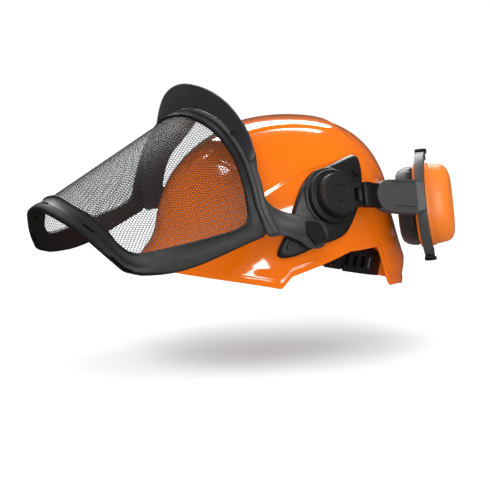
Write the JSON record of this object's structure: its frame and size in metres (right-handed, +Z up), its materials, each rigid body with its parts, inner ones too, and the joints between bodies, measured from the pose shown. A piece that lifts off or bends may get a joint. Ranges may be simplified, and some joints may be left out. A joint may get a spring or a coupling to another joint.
{
  "type": "hard hat",
  "caption": "Forestry safety helmet with a raised mesh visor on a tilting hoop, ear muffs on swinging arms parked at the rear, and a ratchet headband inside the shell.",
  "frame": {"origin": "on the middle plane, level with the nape edge of the shell, below the crown", "axes": "-Y is the front, +X the wearer's left, +Z up; the helmet is upright, visor raised, muffs parked"},
  "size_m": [0.2512, 0.4342, 0.2113],
  "materials": {
    "shell_orange": "high gloss injection moulded ABS",
    "cup_orange": "high gloss injection moulded ABS",
    "black_plastic": "satin black polyamide",
    "dark_plastic": "satin dark grey polyamide",
    "grey_plastic": "satin mid grey polyamide",
    "collar_rubber": "soft matt black elastomer",
    "mesh_steel": "etched steel sheet, blackened",
    "steel": "zinc plated steel",
    "foam": "open cell foam",
    "cushion_vinyl": "soft grained vinyl",
    "webbing": "woven polyester webbing",
    "pad_fabric": "terry sweat pad"
  },
  "bodies": {
    "helmet": {"shell": "shell_orange", "side_adapter_left": "dark_plastic", "side_adapter_right": "dark_plastic", "adapter_screws": "steel", "hub_bases": "dark_plastic", "hub_spindles": "steel", "visor_bases": "dark_plastic", "visor_pins": "steel", "headband": "black_plastic", "brow_pad": "pad_fabric", "strap_long": "webbing", "strap_cross": "webbing", "crown_pad": "pad_fabric", "harness_clips": "black_plastic"},
    "visor": {"visor_hoop": "black_plastic", "visor_collar": "collar_rubber", "visor_frame": "black_plastic", "visor_mesh": "mesh_steel", "visor_seal": "collar_rubber"},
    "nape": {"nape_band": "black_plastic", "nape_pad": "pad_fabric", "ratchet_housing": "black_plastic"},
    "knob": {"ratchet_knob": "dark_plastic", "ratchet_pinion": "steel"},
    "button_left": {"visor_button_left": "dark_plastic"},
    "turntable_left": {"turntable_left": "dark_plastic", "hub_cap_left": "dark_plastic", "fold_pin_left": "steel"},
    "arm_left": {"muff_arm_left": "black_plastic"},
    "yoke_left": {"muff_yoke_left": "grey_plastic", "fork_clips_left": "black_plastic"},
    "cup_left": {"cup_left": "cup_orange", "cup_liner_left": "black_plastic", "cup_foam_left": "foam", "cushion_left": "cushion_vinyl"},
    "button_right": {"visor_button_right": "dark_plastic"},
    "turntable_right": {"turntable_right": "dark_plastic", "hub_cap_right": "dark_plastic", "fold_pin_right": "steel"},
    "arm_right": {"muff_arm_right": "black_plastic"},
    "yoke_right": {"muff_yoke_right": "grey_plastic", "fork_clips_right": "black_plastic"},
    "cup_right": {"cup_right": "cup_orange", "cup_liner_right": "black_plastic", "cup_foam_right": "foam", "cushion_right": "cushion_vinyl"}
  },
  "joints": [
    {"name": "visor_tilt", "type": "hinge", "parent": "helmet", "child": "visor", "pos_m": [0, -0.0505, 0.07], "axis": [1, 0, 0], "range_deg": [0, 65]},
    {"name": "visor_button_left", "type": "slide", "parent": "visor", "child": "button_left", "axis": [-1, 0, 0], "range_m": [0, 0.002]},
    {"name": "visor_button_right", "type": "slide", "parent": "visor", "child": "button_right", "axis": [1, 0, 0], "range_m": [0, 0.002]},
    {"name": "muff_swing_left", "type": "hinge", "parent": "helmet", "child": "turntable_left", "pos_m": [0.12, -0.022, 0.107], "axis": [-0.9563, 0, -0.2924], "range_deg": [0, 92]},
    {"name": "muff_fold_left", "type": "hinge", "parent": "turntable_left", "child": "arm_left", "pos_m": [0.11349, 0.0039, 0.10264], "axis": [0.2913, -0.0872, -0.9527], "range_deg": [0, 24]},
    {"name": "muff_height_left", "type": "slide", "parent": "arm_left", "child": "yoke_left", "axis": [-0.0746, 0.9907, -0.1135], "range_m": [0, 0.018]},
    {"name": "cup_tilt_left", "type": "hinge", "parent": "yoke_left", "child": "cup_left", "pos_m": [0.07704, 0.11027, 0.08177], "axis": [-0.2913, 0.0872, 0.9527], "range_deg": [0, 10]},
    {"name": "muff_swing_right", "type": "hinge", "parent": "helmet", "child": "turntable_right", "pos_m": [-0.12, -0.022, 0.107], "axis": [-0.9563, 0, 0.2924], "range_deg": [0, 92]},
    {"name": "muff_fold_right", "type": "hinge", "parent": "turntable_right", "child": "arm_right", "pos_m": [-0.11349, 0.0039, 0.10264], "axis": [0.2913, 0.0872, 0.9527], "range_deg": [0, 24]},
    {"name": "muff_height_right", "type": "slide", "parent": "arm_right", "child": "yoke_right", "axis": [0.0746, 0.9907, -0.1135], "range_m": [0, 0.018]},
    {"name": "cup_tilt_right", "type": "hinge", "parent": "yoke_right", "child": "cup_right", "pos_m": [-0.07704, 0.11027, 0.08177], "axis": [-0.2913, -0.0872, -0.9527], "range_deg": [0, 10]},
    {"name": "size_slide", "type": "slide", "parent": "helmet", "child": "nape", "axis": [0, 0.9781, -0.2079], "range_m": [0, 0.007]},
    {"name": "ratchet_turn", "type": "hinge", "parent": "nape", "child": "knob", "pos_m": [0, 0.09305, 0.01845], "axis": [0, 0.9781, -0.2079], "range_deg": [0, 180]}
  ],
  "couplings": [
    {"joint": "muff_fold_left", "follows": "muff_swing_left", "ratio": 0.25},
    {"joint": "muff_fold_right", "follows": "muff_swing_right", "ratio": 0.25},
    {"joint": "ratchet_turn", "follows": "size_slide", "rad_per_m": 439.82}
  ]
}
